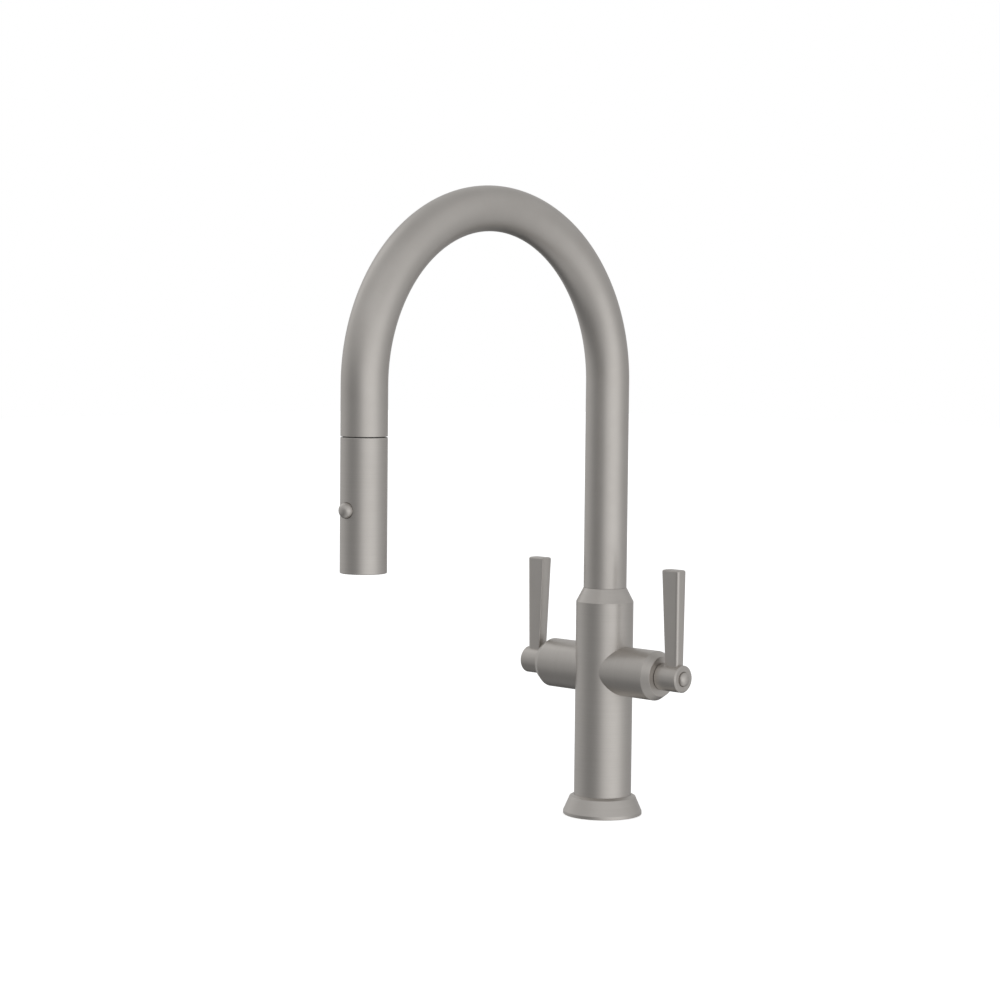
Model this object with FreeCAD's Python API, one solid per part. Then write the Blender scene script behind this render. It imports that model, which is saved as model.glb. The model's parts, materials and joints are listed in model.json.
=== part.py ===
"""Two-handle, deck-mounted kitchen tap with a swivelling gooseneck spout and a pull-down spray.

Millimetres. The origin is the middle of the base flange's underside, on the column's axis.
+Z is up, the spout reaches towards -Y and the handles point along +X (cold) and -X (hot).
"""
import FreeCAD, Part
import math
import os

Vector = FreeCAD.Vector

# Driving dimensions: visible body
FLANGE_R = 26.3
FLANGE_H = 13.3
COLUMN_R = 19.1
COLUMN_H = 142.7
NECK_TOP_R = 14.35
NECK_TOP_Z = 151.9
TUBE_R = 14.3
TUBE_WALL = 1.6
BEND_R = 109.5
BEND_Z = 288.8
TUBE_END_Z = 257.9
SPRAY_TOP_Z = 257.3
SPRAY_BOTTOM_Z = 175.3
BUTTON_Z = 213.7
BUTTON_R = 4.85
BUTTON_PROUD = 4.1
BUTTON_GAP = 0.2

# Driving dimensions: handles, as distances from the column's axis along X
HANDLE_Z = 97.3
BONNET_R = 16.35
BONNET_SHOULDER = 46.0
BONNET_NOSE_R = 13.3
BONNET_END = 51.0
HUB_R = 8.93
HUB_START = 51.25
HUB_END = 69.3
LEVER_LOW = {"z": 106.0, "inner": 55.6, "outer": 66.3, "half_y": 3.82}
LEVER_HIGH = {"z": 165.0, "inner": 52.6, "outer": 66.8, "half_y": 4.34}
LEVER_TOP_Z = 168.0
LEVER_OUTER_ROUND = 2.2
LEVER_INNER_ROUND = 0.9
LEVER_CROWN = 0.65
CAP_R = 4.65
CAP_END = 72.2

# Driving dimensions: inside and under the deck
COLUMN_BORE = 16.4
SWIVEL_BORE = 13.1
SWIVEL_FLOOR_Z = 116.0
SLEEVE_R = 12.2
RUN_GAP = 0.05
RETAINER_Z = 129.0
SEAL_HEIGHTS = (136.0, 140.5)
HOSE_R = 5.0
HOSE_BEND_R = 103.0
HOSE_ARCH_Z = 300.0
TAIL_R = 4.76
TAIL_WALL = 0.8
TAIL_OFFSET = 9.96
TAIL_SPREAD = 36.0
SHANK_R = 16.6
SHANK_BORE = 15.0
SHANK_BOTTOM_Z = -58.0
DECK_THICKNESS = 30.0
CARTRIDGE_R = 11.5
CARTRIDGE_START = 10.5
STEM_R = 4.5
SWIVEL_LIMIT_DEG = 120.0
BUTTON_TRAVEL = 2.2

# Values worked out from the driving dimensions
REACH = 2 * BEND_R
TUBE_BORE = TUBE_R - TUBE_WALL
SPOUT_AXIS = Vector(0, -REACH, 0)
SIDES = {"left": -1, "right": 1}


# Shape helpers

def lathe(outline):
    """A solid turned about Z from a closed outline of (radius, height) points."""
    points = [Vector(r, 0, z) for r, z in outline]
    face = Part.Face(Part.makePolygon(points + points[:1]))
    return face.revolve(Vector(0, 0, 0), Vector(0, 0, 1), 360)


def rod(radius, z0, z1):
    return Part.makeCylinder(radius, z1 - z0, Vector(0, 0, z0))


def ring(outer, inner, z0, z1):
    return rod(outer, z0, z1).cut(rod(inner, z0 - 1, z1 + 1))


def o_ring(radius, section_r, z):
    return Part.makeTorus(radius, section_r, Vector(0, 0, z))


def hexagon(across_flats, z0, z1):
    """A hexagonal bar about Z."""
    corner = across_flats / math.sqrt(3)
    points = [Vector(corner * math.cos(k * math.pi / 3), corner * math.sin(k * math.pi / 3), z0)
              for k in range(7)]
    return Part.Face(Part.makePolygon(points)).extrude(Vector(0, 0, z1 - z0))


def moved(shape, x=0.0, y=0.0, z=0.0):
    copy = shape.copy()
    copy.translate(Vector(x, y, z))
    return copy


def along_x(shape, side):
    """Lays a part turned about Z on the handle axis: its height becomes its distance from the column."""
    copy = shape.copy()
    copy.rotate(Vector(0, 0, 0), Vector(0, 1, 0), 90)
    copy.translate(Vector(0, 0, HANDLE_Z))
    if side < 0:
        copy.rotate(Vector(0, 0, 0), Vector(0, 0, 1), 180)
    return copy


def along_front(shape):
    """Turns a part from the Z axis to the spray button's axis: its height points to the front."""
    copy = shape.copy()
    copy.rotate(Vector(0, 0, 0), Vector(1, 0, 0), 90)
    copy.translate(SPOUT_AXIS + Vector(0, 0, BUTTON_Z))
    return copy


def on_spout(shape):
    copy = shape.copy()
    copy.translate(SPOUT_AXIS)
    return copy


def around(shape, count, radius, start_deg=0.0):
    """Copies of a shape spaced evenly on a circle about Z, as one group of solids."""
    copies = []
    for k in range(count):
        copy = moved(shape, x=radius)
        copy.rotate(Vector(0, 0, 0), Vector(0, 0, 1), start_deg + 360.0 * k / count)
        copies.append(copy)
    return copies


def swept(edges, radius, normal):
    """A round bar of one radius along joined edges."""
    path = Part.Wire(edges)
    start = edges[0].Vertexes[0].Point
    profile = Part.Wire([Part.makeCircle(radius, start, normal)])
    return path.makePipeShell([profile], True, False)


def line(a, b):
    return Part.LineSegment(a, b).toShape()


def arc(a, middle, b):
    return Part.Arc(a, middle, b).toShape()


def arch_path(start_z, end_z, bend_z, bend_r):
    """Up from the column, over and down to the outlet, with two quarter bends and a flat between."""
    lean = bend_r * math.sqrt(0.5)
    first, last = -bend_r, -REACH + bend_r
    top = bend_z + bend_r
    edges = [line(Vector(0, 0, start_z), Vector(0, 0, bend_z)),
             arc(Vector(0, 0, bend_z), Vector(0, first + lean, bend_z + lean), Vector(0, first, top))]
    if first - last > 0.01:
        edges.append(line(Vector(0, first, top), Vector(0, last, top)))
    edges.append(arc(Vector(0, last, top), Vector(0, last - lean, bend_z + lean),
                     Vector(0, -REACH, bend_z)))
    if bend_z - end_z > 0.01:
        edges.append(line(Vector(0, -REACH, bend_z), Vector(0, -REACH, end_z)))
    return edges


def box(x0, x1, y0, y1, z0, z1):
    return Part.makeBox(x1 - x0, y1 - y0, z1 - z0, Vector(x0, y0, z0))


# Column and base

def base_flange():
    """A conical cover ring with a groove for the seal under it."""
    bore = COLUMN_R + 0.1
    return lathe([(bore, 0), (20.4, 0), (20.4, 1.8), (23.8, 1.8), (23.8, 0), (FLANGE_R - 0.4, 0),
                  (FLANGE_R, 0.4), (FLANGE_R, 1.8), (FLANGE_R - 0.2, 2.4), (22.2, FLANGE_H - 1.7),
                  (21.6, FLANGE_H - 1.1), (bore, FLANGE_H)])


def base_seal():
    return ring(23.7, 20.5, 0, 1.75)


def column():
    """The satin outer body, with the swivel socket in its neck and a window for each valve."""
    body = lathe([(SHANK_R + 0.05, 0), (COLUMN_R, 0), (COLUMN_R, COLUMN_H - 0.3),
                  (COLUMN_R - 0.15, COLUMN_H), (NECK_TOP_R + 0.25, NECK_TOP_Z - 0.3),
                  (NECK_TOP_R - 0.1, NECK_TOP_Z), (SWIVEL_BORE, NECK_TOP_Z),
                  (SWIVEL_BORE, SWIVEL_FLOOR_Z), (COLUMN_BORE, SWIVEL_FLOOR_Z - 2),
                  (COLUMN_BORE, 24), (SHANK_R + 0.05, 24)])
    window = along_x(rod(CARTRIDGE_R + 1.2, 0, COLUMN_R + 2), 1)
    for side in SIDES.values():
        turned = window.copy()
        if side < 0:
            turned.rotate(Vector(0, 0, 0), Vector(0, 0, 1), 180)
        body = body.cut(turned)
    return body.cut(retaining_hole(2.05))


def retaining_hole(radius):
    """The radial hole at the back of the neck for the screw that retains the spout."""
    return Part.makeCylinder(radius, 12, Vector(0, SLEEVE_R - 3, RETAINER_Z), Vector(0, 1, 0))


def spout_retaining_screw():
    """A grub screw whose tip runs in the sleeve's groove, keeps the spout in and stops its turn."""
    tip = SLEEVE_R - 1.2
    length = COLUMN_R - 0.6 - tip
    screw = Part.makeCylinder(2.0, length, Vector(0, tip, RETAINER_Z), Vector(0, 1, 0))
    socket = hexagon(2.0, 0, 2.2)
    socket.rotate(Vector(0, 0, 0), Vector(1, 0, 0), -90)
    socket.translate(Vector(0, tip + length - 2.0, RETAINER_Z))
    return screw.cut(socket)


def valve_block():
    """The brass manifold: one seat per valve, the hose passage, two inlets and a mixing passage."""
    block = rod(COLUMN_BORE - 0.1, 74, 113)
    block = block.cut(rod(HOSE_R + 1, 73, 114))
    for side in SIDES.values():
        block = block.cut(along_x(rod(CARTRIDGE_R + 0.02, CARTRIDGE_START, 20), side))
        block = block.cut(along_x(rod(6.5, 7.2, CARTRIDGE_START + 1), side))
        x = side * TAIL_OFFSET
        block = block.cut(moved(rod(TAIL_R + 0.02, 73, 82), x=x))
        block = block.cut(moved(rod(3.2, 80, HANDLE_Z - 3), x=x))
    block = block.cut(moved(rod(TAIL_R + 0.02, 73, 82), y=TAIL_OFFSET))
    block = block.cut(moved(rod(2.9, 80, HANDLE_Z), y=TAIL_OFFSET))
    mixing = Part.makeCylinder(2.9, 2 * CARTRIDGE_START + 1, Vector(-CARTRIDGE_START - 0.5, TAIL_OFFSET,
                                                                 HANDLE_Z), Vector(1, 0, 0))
    return block.cut(mixing)


# Swivel

def swivel_sleeve():
    """The brass spigot soldered into the spout, with two seal grooves and the retainer's slot."""
    sleeve = lathe([(9.5, 117), (SLEEVE_R, 117), (SLEEVE_R, 152), (TUBE_BORE - 0.02, 152.2),
                    (TUBE_BORE - 0.02, 168), (9.5, 168)])
    for z in SEAL_HEIGHTS:
        sleeve = sleeve.cut(ring(SLEEVE_R + 1, SLEEVE_R - 0.95, z - 1.0, z + 1.0))
    half = SWIVEL_LIMIT_DEG + math.degrees(math.asin(2.0 / SLEEVE_R)) + 2.0
    slot = ring(SLEEVE_R + 1, SLEEVE_R - 1.7, RETAINER_Z - 2.3, RETAINER_Z + 2.3)
    keep_deg = 360 - 2 * half
    wedge = Part.makeCylinder(40, 10, Vector(0, 0, RETAINER_Z - 5), Vector(0, 0, 1), keep_deg)
    wedge.rotate(Vector(0, 0, 0), Vector(0, 0, 1), -90 - keep_deg / 2)
    return sleeve.cut(slot.cut(wedge))


def swivel_o_rings():
    rings = [o_ring(SLEEVE_R, 0.85, z) for z in SEAL_HEIGHTS]
    return Part.makeCompound(rings)


def swivel_bush(z0):
    return ring(SWIVEL_BORE - 0.01, SLEEVE_R + RUN_GAP, z0, z0 + 6)


# Spout, dock and hose

def spout_tube():
    """One bent tube: up, a half circle over, and a short leg down to the dock."""
    edges = arch_path(NECK_TOP_Z + RUN_GAP, TUBE_END_Z, BEND_Z, BEND_R)
    outer = swept(edges, TUBE_R, Vector(0, 0, 1))
    inner = swept(arch_path(NECK_TOP_Z - 1, TUBE_END_Z - 1, BEND_Z, BEND_R), TUBE_BORE, Vector(0, 0, 1))
    return outer.cut(inner)


def dock_ring():
    """The plastic seat in the spout's end that the spray head parks on, with a magnet pocket."""
    body = lathe([(10.2, 258.3), (TUBE_BORE - 0.02, 258.3), (TUBE_BORE - 0.02, 274), (9.0, 274),
                  (9.0, 260.5)])
    return on_spout(body.cut(ring(12.05, 9.75, 265, 275)))


def dock_magnet():
    return on_spout(ring(12.0, 9.8, 265.05, 272))


def spray_hose():
    """The hose held inside the column and the spout, lying against the outside of the bend."""
    return swept(arch_path(-92, HOSE_ARCH_Z, HOSE_ARCH_Z, HOSE_BEND_R), HOSE_R, Vector(0, 0, 1))


def hose_outlet_run():
    """The hose's last stretch above the spray head, which pays out when the head is pulled."""
    return on_spout(rod(HOSE_R, 284.1, HOSE_ARCH_Z - 0.05))


def hose_end_fitting():
    """The crimped end and threaded nipple under the deck, where the hose takes mixed water."""
    crimp = ring(6.3, HOSE_R, -92, -74)
    flats = hexagon(15, -98, -92)
    nipple = rod(7.0, -116, -98)
    return crimp.fuse(flats).fuse(nipple).cut(rod(3.0, -117, -92)).removeSplitter()


# Spray head

def spray_shell():
    edge = 0.9
    body = lathe([(12.9, SPRAY_BOTTOM_Z), (TUBE_R - edge, SPRAY_BOTTOM_Z),
                  (TUBE_R - 0.3 * edge, SPRAY_BOTTOM_Z + 0.3 * edge), (TUBE_R, SPRAY_BOTTOM_Z + edge),
                  (TUBE_R, SPRAY_TOP_Z - 0.3), (TUBE_R - 0.3, SPRAY_TOP_Z), (12.95, SPRAY_TOP_Z),
                  (12.95, 250), (12.9, 250)])
    return on_spout(body).cut(along_front(rod(BUTTON_R + BUTTON_GAP, 6, 20)))


def spray_core():
    """The moulded waterway: inlet and check-valve bore, diverter bore, jet and spray channels."""
    core = rod(12.6, 190, 250)
    core = core.cut(rod(4.8, 236, 251)).cut(rod(3.0, 189, 238))
    core = core.cut(rod(9.8, 189, 194))
    core = core.cut(rod(5.6, 189, 198))
    for channel in around(rod(1.6, 193, BUTTON_Z), 2, 7.0, 90):
        core = core.cut(channel)
    core = on_spout(core.cut(ring(13, 11.7, 244.9, 247.1)))
    core = core.cut(along_front(rod(4.0, -10, 14)))
    return core.cut(along_front(rod(BUTTON_R + 0.65, 9.05 - BUTTON_TRAVEL - 0.3, 14)))


def spray_o_ring():
    return on_spout(o_ring(12.3, 0.55, 246))


def spray_collar():
    """The dark collar on top of the head, with the spigot that enters the dock."""
    return on_spout(lathe([(5.2, 250.05), (12.9, 250.05), (12.9, 257.7), (12.4, 257.7), (12.4, 256.9),
                           (9.7, 256.9), (9.7, 257.7), (8.6, 258.2), (8.4, 263.9), (5.2, 263.9)]))


def latch_ring():
    return on_spout(ring(12.35, 9.75, 256.95, 257.75))


def hose_connector():
    """The brass swivel union between the hose and the spray head."""
    body = rod(5.1, 251, 264.1).fuse(hexagon(12.5, 264.1, 270)).fuse(rod(6.2, 270, 284))
    return on_spout(body.cut(rod(3.2, 250, 285)).removeSplitter())


def check_valve():
    return on_spout(ring(4.7, 2.6, 238.5, 248.5).fuse(rod(1.2, 239, 247)).fuse(
        box(-2.9, 2.9, -0.5, 0.5, 240, 242)).removeSplitter())


def diverter_spool():
    """The shuttle behind the button: two lands that swap the water from jet to spray."""
    spool = rod(2.2, -5.5, 9.0)
    for start in (-5.5, -0.8, 4.0):
        spool = spool.fuse(rod(3.9, start, start + 2.6))
    return along_front(spool.removeSplitter())


def spray_button():
    """A push button with a full round dome, standing proud of the head's front."""
    front, foot = TUBE_R + BUTTON_PROUD, TUBE_R + 0.2
    dome = [(BUTTON_R * math.cos(math.radians(a)) ** 0.85, foot + (front - foot) * math.sin(math.radians(a)))
            for a in range(0, 90, 10)]
    return along_front(lathe([(0, 9.05), (BUTTON_R, 9.05), *dome, (0, front)]))


def button_seal():
    return along_front(ring(BUTTON_R + 0.62, BUTTON_R + 0.12, 8.6, 10.6))


def button_spring():
    """The sleeve that the button's return spring fills at the blind end of the diverter bore."""
    return along_front(ring(3.2, 2.6, -9.8, -5.65))


def spray_face():
    """The soft face plate with its rings of nozzles around the jet outlet."""
    plate = ring(11.7, 5.7, 177, 180)
    for count, radius in ((14, 7.7), (20, 10.1)):
        for nozzle in around(Part.makeCone(0.62, 0.85, 1.7, Vector(0, 0, 175.6)), count, radius):
            plate = plate.fuse(nozzle)
        for hole in around(rod(0.3, 175, 181), count, radius):
            plate = plate.cut(hole)
    return on_spout(plate.removeSplitter())


def spray_bezel():
    return on_spout(lathe([(11.75, 176.4), (12.85, 175.7), (12.85, 188.5), (11.0, 188.5), (11.0, 180.2),
                           (11.75, 180.2)]))


def aerator_housing():
    return on_spout(lathe([(4.5, 176), (5.2, 176), (5.6, 176.5), (5.6, 188.9), (4.9, 188.9), (4.9, 179),
                           (4.5, 179)]))


def aerator_screen():
    screen = rod(4.85, 179.05, 179.65)
    spacing = 1.3
    for i in range(-3, 4):
        for j in range(-3, 4):
            if math.hypot(i, j) * spacing < 4.1:
                screen = screen.cut(moved(rod(0.42, 178, 181), x=i * spacing, y=j * spacing))
    return on_spout(screen)


# Valves and handles, one set per side

def bonnet(side):
    """The round cover over a valve, shaped to the column where they meet."""
    cover = lathe([(12.9, 10), (BONNET_R, 10), (BONNET_R, BONNET_SHOULDER - 0.3),
                   (BONNET_R - 0.25, BONNET_SHOULDER + 0.2), (BONNET_NOSE_R + 0.2, BONNET_END - 0.3),
                   (BONNET_NOSE_R - 0.2, BONNET_END), (8.15, BONNET_END), (8.15, 45), (12.9, 45)])
    return along_x(cover, side).cut(rod(COLUMN_R + 0.02, 60, 140))


def cartridge(side):
    """The quarter-turn valve housing: threaded end, hexagon and neck."""
    body = rod(CARTRIDGE_R, CARTRIDGE_START, 30).fuse(hexagon(21.5, 30, 36)).fuse(rod(8.0, 36, 50.4))
    body = body.cut(rod(9.0, CARTRIDGE_START - 1, 25)).cut(rod(STEM_R + 0.06, 24, 51))
    body = body.cut(ring(6.5, 4.0, 40, 42))
    body = body.cut(box(-3.0, 3.0, -13, 13, 17, 22))
    return along_x(body.removeSplitter(), side)


def seat_disc(side):
    disc = rod(8.9, 13, 16.4)
    for port in around(rod(2.4, 12, 17), 2, 5.0, 0):
        disc = disc.cut(port)
    return along_x(disc, side)


def seat_seal(side):
    return along_x(ring(8.9, 7.0, 11.0, 12.95), side)


def turning_disc(side):
    """The polished disc that turns with the stem and opens the ports in a quarter turn."""
    disc = rod(8.8, 16.45, 19.6)
    for port in around(rod(2.4, 16, 20), 2, 5.0, 90):
        disc = disc.cut(port)
    return along_x(disc, side)


def stem(side):
    """The brass stem: a flange that drives the disc and a splined end for the lever."""
    flange = rod(8.8, 19.65, 22.5)
    body = flange.fuse(rod(STEM_R, 22.5, 62.8)).cut(rod(1.75, 50, 63))
    return along_x(body.removeSplitter(), side)


def stem_o_ring(side):
    return along_x(o_ring(5.5, 0.88, 41), side)


def lever_section(z, shrink=0.0):
    """The lever at height z: soft outer edges, a slightly crowned inner side, an even taper."""
    share = (z - LEVER_LOW["z"]) / (LEVER_HIGH["z"] - LEVER_LOW["z"])
    size = {key: LEVER_LOW[key] + share * (LEVER_HIGH[key] - LEVER_LOW[key]) for key in LEVER_LOW}
    inner, outer, half = size["inner"] + shrink, size["outer"] - shrink, size["half_y"] - shrink
    wide, small = LEVER_OUTER_ROUND, LEVER_INNER_ROUND
    bulge = wide * (1 - math.sqrt(0.5))
    front = [(outer, half - wide), (outer - bulge, half - bulge), (outer - wide, half),
             (inner + LEVER_CROWN + small, half), (inner + LEVER_CROWN, half - small), (inner, 0.8)]
    corners = front + [(x, -y) for x, y in reversed(front)]
    return Part.makePolygon([Vector(x, y, z) for x, y in corners + corners[:1]])


def lever(side):
    """The hub on the stem and the flat, tapered arm standing on it."""
    foot_z, rim_z = HANDLE_Z + 2.0, LEVER_TOP_Z - 0.9
    arm = Part.makeLoft([lever_section(foot_z), lever_section(rim_z)], True, True)
    tip = Part.makeLoft([lever_section(rim_z), lever_section(LEVER_TOP_Z, 0.8)], True, True)
    hub = lathe([(0, HUB_START), (HUB_R, HUB_START), (HUB_R, HUB_END - 0.8), (HUB_R - 0.8, HUB_END),
                 (0, HUB_END)])
    body = along_x(hub, 1).fuse(arm).fuse(tip)
    body = body.cut(along_x(rod(STEM_R + 0.02, HUB_START - 1, 63), 1))
    body = body.cut(along_x(rod(2.1, 62, HUB_END), 1)).cut(along_x(rod(CAP_R + 0.15, 66.8, HUB_END + 1), 1))
    body = body.removeSplitter()
    return body if side > 0 else body.mirror(Vector(0, 0, 0), Vector(1, 0, 0))


def cap_screw(side):
    """The domed screw that holds the lever on its stem."""
    foot = CAP_END - 2.6
    dome = [(CAP_R * math.cos(math.radians(a)), foot + (CAP_END - foot) * math.sin(math.radians(a)))
            for a in range(0, 90, 15)]
    head = lathe([(0, 66.85), (CAP_R, 66.85), *dome, (0, CAP_END)])
    body = head.fuse(rod(1.72, 54, 66.85)).removeSplitter()
    return along_x(body, side)


# Deck fixings and water tails

def shank():
    return ring(SHANK_R, SHANK_BORE, SHANK_BOTTOM_Z, 24)


def deck_washer():
    return ring(29.0, SHANK_R + 0.5, -DECK_THICKNESS - 3, -DECK_THICKNESS)


def clamp_washer():
    return ring(29.0, SHANK_R + 0.5, -DECK_THICKNESS - 5, -DECK_THICKNESS - 3)


def mounting_nut():
    """The round nut with three jacking screws that clamps the tap to the deck."""
    top = -DECK_THICKNESS - 7
    nut = ring(25.0, SHANK_R + 0.02, top - 9, top)
    for hole in around(rod(2.52, top - 10, top + 1), 3, 21.0, 90):
        nut = nut.cut(hole)
    return nut


def nut_screws():
    """The three jacking screws between the nut and the clamp washer."""
    top = -DECK_THICKNESS - 5
    screw = rod(2.5, top - 18, top).fuse(hexagon(7.0, top - 22, top - 18)).removeSplitter()
    return Part.makeCompound(around(screw, 3, 21.0, 90))


def tail_path(direction, bottom_z):
    """A water tail: straight down through the shank, swept outwards, then straight down."""
    def point(offset, z):
        return Vector(direction.x * offset, direction.y * offset, z)
    turn, bend_r = math.radians(50), 20.0
    side, drop = bend_r * (1 - math.cos(turn)), bend_r * math.sin(turn)
    slope = (TAIL_SPREAD - TAIL_OFFSET - 2 * side) / math.tan(turn)
    half_side, half_drop = bend_r * (1 - math.cos(turn / 2)), bend_r * math.sin(turn / 2)
    z1 = SHANK_BOTTOM_Z - 4
    z2, z3 = z1 - drop, z1 - drop - slope
    z4 = z3 - drop
    a, b = point(TAIL_OFFSET, 81.9), point(TAIL_OFFSET, z1)
    c, d = point(TAIL_OFFSET + side, z2), point(TAIL_SPREAD - side, z3)
    e, f = point(TAIL_SPREAD, z4), point(TAIL_SPREAD, bottom_z)
    return [line(a, b), arc(b, point(TAIL_OFFSET + half_side, z1 - half_drop), c), line(c, d),
            arc(d, point(TAIL_SPREAD - half_side, z4 + half_drop), e), line(e, f)]


def water_tail(direction, bottom_z):
    edges = tail_path(direction, bottom_z)
    outer = swept(edges, TAIL_R, Vector(0, 0, -1))
    inner = swept(edges, TAIL_R - TAIL_WALL, Vector(0, 0, -1))
    return outer.cut(inner)


def mixed_outlet_fitting():
    """The nipple on the mixed-water tail."""
    body = rod(7.0, -152, -136).fuse(hexagon(16, -136, -130)).fuse(rod(6.4, -130, -118))
    body = body.cut(rod(TAIL_R + 0.02, -134, -117)).cut(rod(3.2, -153, -133))
    return moved(body.removeSplitter(), y=TAIL_SPREAD)


def all_nodes():
    """Every sub-part by name."""
    nodes = {
        "base_flange": base_flange(),
        "base_seal": base_seal(),
        "column": column(),
        "spout_retaining_screw": spout_retaining_screw(),
        "valve_block": valve_block(),
        "swivel_bush_lower": swivel_bush(118),
        "swivel_bush_upper": swivel_bush(144),
        "swivel_sleeve": swivel_sleeve(),
        "swivel_o_rings": swivel_o_rings(),
        "spout_tube": spout_tube(),
        "dock_ring": dock_ring(),
        "dock_magnet": dock_magnet(),
        "spray_hose": spray_hose(),
        "hose_outlet_run": hose_outlet_run(),
        "hose_end_fitting": hose_end_fitting(),
        "spray_shell": spray_shell(),
        "spray_core": spray_core(),
        "spray_o_ring": spray_o_ring(),
        "spray_collar": spray_collar(),
        "latch_ring": latch_ring(),
        "hose_connector": hose_connector(),
        "check_valve": check_valve(),
        "diverter_spool": diverter_spool(),
        "spray_button": spray_button(),
        "button_seal": button_seal(),
        "button_spring": button_spring(),
        "spray_face": spray_face(),
        "spray_bezel": spray_bezel(),
        "aerator_housing": aerator_housing(),
        "aerator_screen": aerator_screen(),
        "shank": shank(),
        "deck_washer": deck_washer(),
        "clamp_washer": clamp_washer(),
        "mounting_nut": mounting_nut(),
        "nut_screws": nut_screws(),
        "hot_tail": water_tail(Vector(-1, 0, 0), -150),
        "cold_tail": water_tail(Vector(1, 0, 0), -150),
        "mixed_tail": water_tail(Vector(0, 1, 0), -133.9),
        "mixed_outlet_fitting": mixed_outlet_fitting(),
    }
    makers = {"bonnet": bonnet, "cartridge": cartridge, "seat_seal": seat_seal, "seat_disc": seat_disc,
              "turning_disc": turning_disc, "stem": stem, "stem_o_ring": stem_o_ring, "lever": lever,
              "cap_screw": cap_screw}
    for name, side in SIDES.items():
        for piece, make in makers.items():
            nodes[name + "_" + piece] = make(side)
    return nodes


def main():
    os.makedirs("parts", exist_ok=True)
    for name, shape in all_nodes().items():
        shape.exportStep("parts/" + name + ".step")
        print(name, "solids", len(shape.Solids), "valid", shape.isValid(), "cm3",
              round(shape.Volume / 1000, 3))


main()
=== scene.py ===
"""Looks of the pull-down kitchen tap: satin nickel outside, brass, copper and plastic inside.

Metres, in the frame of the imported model: +Z is up, the spout reaches towards -Y.
"""
import json
import math

import bmesh
import bpy
from mathutils import Matrix, Vector


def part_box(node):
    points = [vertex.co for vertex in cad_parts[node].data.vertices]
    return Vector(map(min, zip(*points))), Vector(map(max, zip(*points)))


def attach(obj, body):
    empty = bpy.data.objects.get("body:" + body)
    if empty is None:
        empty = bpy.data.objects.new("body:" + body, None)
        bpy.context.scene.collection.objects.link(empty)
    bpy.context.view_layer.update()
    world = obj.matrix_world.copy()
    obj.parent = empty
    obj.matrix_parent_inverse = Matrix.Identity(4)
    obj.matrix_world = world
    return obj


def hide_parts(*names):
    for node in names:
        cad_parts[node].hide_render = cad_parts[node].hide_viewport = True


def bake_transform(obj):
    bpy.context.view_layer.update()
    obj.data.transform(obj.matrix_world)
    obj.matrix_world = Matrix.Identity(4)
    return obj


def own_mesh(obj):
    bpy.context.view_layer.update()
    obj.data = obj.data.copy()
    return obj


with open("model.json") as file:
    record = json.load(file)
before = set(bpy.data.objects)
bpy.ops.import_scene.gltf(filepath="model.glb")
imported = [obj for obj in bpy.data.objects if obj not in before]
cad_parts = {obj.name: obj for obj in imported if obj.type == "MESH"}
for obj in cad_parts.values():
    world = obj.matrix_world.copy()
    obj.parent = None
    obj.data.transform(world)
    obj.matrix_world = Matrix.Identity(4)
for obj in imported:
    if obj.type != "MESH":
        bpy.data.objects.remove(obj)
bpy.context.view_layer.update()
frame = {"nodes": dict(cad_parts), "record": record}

MM = 0.001
TAU = 2 * math.pi
HAIR = 0.001 * MM  # too small to matter
SEGMENTS = 160
SMALL_SEGMENTS = 96
TINY_SEGMENTS = 48
SHARP_ANGLE = math.radians(38)
SIDES = {"left": -1, "right": 1}


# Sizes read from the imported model

def low(node):
    return Vector(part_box(node)[0])


def high(node):
    return Vector(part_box(node)[1])


FLANGE_R = high("base_flange").x
FLANGE_TOP = high("base_flange").z
COLUMN_R = high("column").x
NECK_TOP = high("column").z
TUBE_R = high("spout_tube").x
TUBE_START = low("spout_tube").z
TUBE_TOP = high("spout_tube").z
TUBE_END = 0.5 * (high("spray_shell").z + low("dock_ring").z) + 0.1 * MM
OUTLET_Y = 0.5 * (low("spray_shell").y + high("spray_shell").y)
SPRAY_TOP = high("spray_shell").z
SPRAY_BOTTOM = low("spray_shell").z
SPRAY_R = high("spray_shell").x
BUTTON_Z = 0.5 * (low("spray_button").z + high("spray_button").z)
BUTTON_R = 0.5 * (high("spray_button").z - low("spray_button").z)
BUTTON_FRONT = OUTLET_Y - low("spray_button").y
BUTTON_BACK = OUTLET_Y - high("spray_button").y
BONNET_R = 0.5 * (high("right_bonnet").z - low("right_bonnet").z)
BONNET_END = high("right_bonnet").x
HANDLE_Z = 0.5 * (low("right_bonnet").z + high("right_bonnet").z)
HUB_START = low("right_lever").x
HUB_END = high("right_lever").x
HUB_R = HANDLE_Z - low("right_lever").z
LEVER_TOP = high("right_lever").z
CAP_FRONT = high("right_cap_screw").x
CAP_R = 0.5 * (high("right_cap_screw").z - low("right_cap_screw").z)
SHANK_R = high("shank").x

BEND_R = -0.5 * OUTLET_Y
BEND_Z = TUBE_TOP - TUBE_R - BEND_R

# Sizes that the boxes don't tell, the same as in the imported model
TUBE_BORE = TUBE_R - 1.6 * MM
SHELL_BORE = 12.9 * MM
BONNET_BORE = 12.9 * MM
STEM_SOCKET_R = 4.52 * MM
STEM_SOCKET_END = 63 * MM
CAP_SEAT = 66.8 * MM
NUT_SCREWS_FROM_AXIS = 21 * MM
LEVER_LOW = {"z": 106.0 * MM, "inner": 55.6 * MM, "outer": 66.3 * MM, "half_y": 3.82 * MM}
LEVER_HIGH = {"z": 165.0 * MM, "inner": 52.6 * MM, "outer": 66.8 * MM, "half_y": 4.34 * MM}
LEVER_OUTER_ROUND = 2.2 * MM
LEVER_INNER_ROUND = 0.9 * MM
LEVER_CROWN = 0.65 * MM


# Outlines: lists of (radius, height), or (radius, height, corner radius) before rounding

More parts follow.
